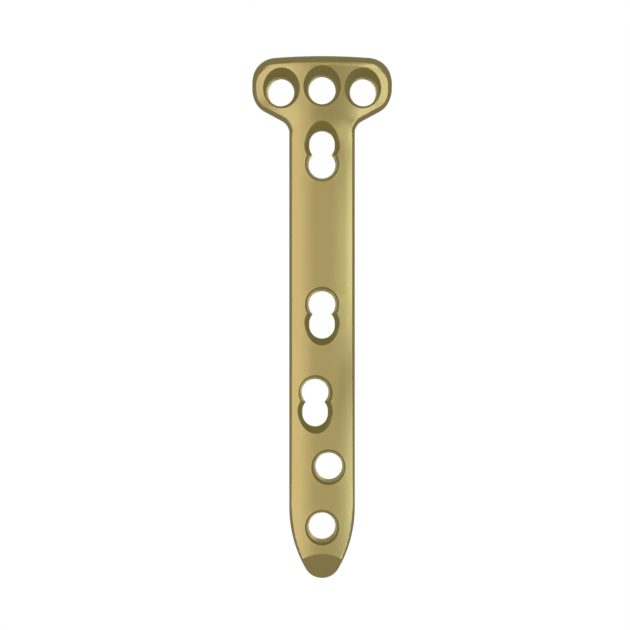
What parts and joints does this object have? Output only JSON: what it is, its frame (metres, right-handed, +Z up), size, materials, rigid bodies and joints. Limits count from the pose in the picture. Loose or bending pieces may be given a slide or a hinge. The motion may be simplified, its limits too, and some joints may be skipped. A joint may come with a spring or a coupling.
{
  "type": "orthopedic bone plate",
  "caption": "T-shaped locking bone plate with a bent, flared head, a narrow domed shaft with locking and combination holes, and a bevelled tip.",
  "frame": {"origin": "on the surface that the plate lies on, below the middle of its length and of the head's width", "axes": "+Z up, out of the plate's front, the side of the screw heads; +Y from the bevelled tip to the wide head; +X to the right, seen from the front with the head up"},
  "size_m": [0.0234, 0.0872, 0.007],
  "materials": {
    "anodised_titanium": "satin"
  },
  "bodies": {
    "root": {"bone_plate": "anodised_titanium"}
  },
  "joints": []
}
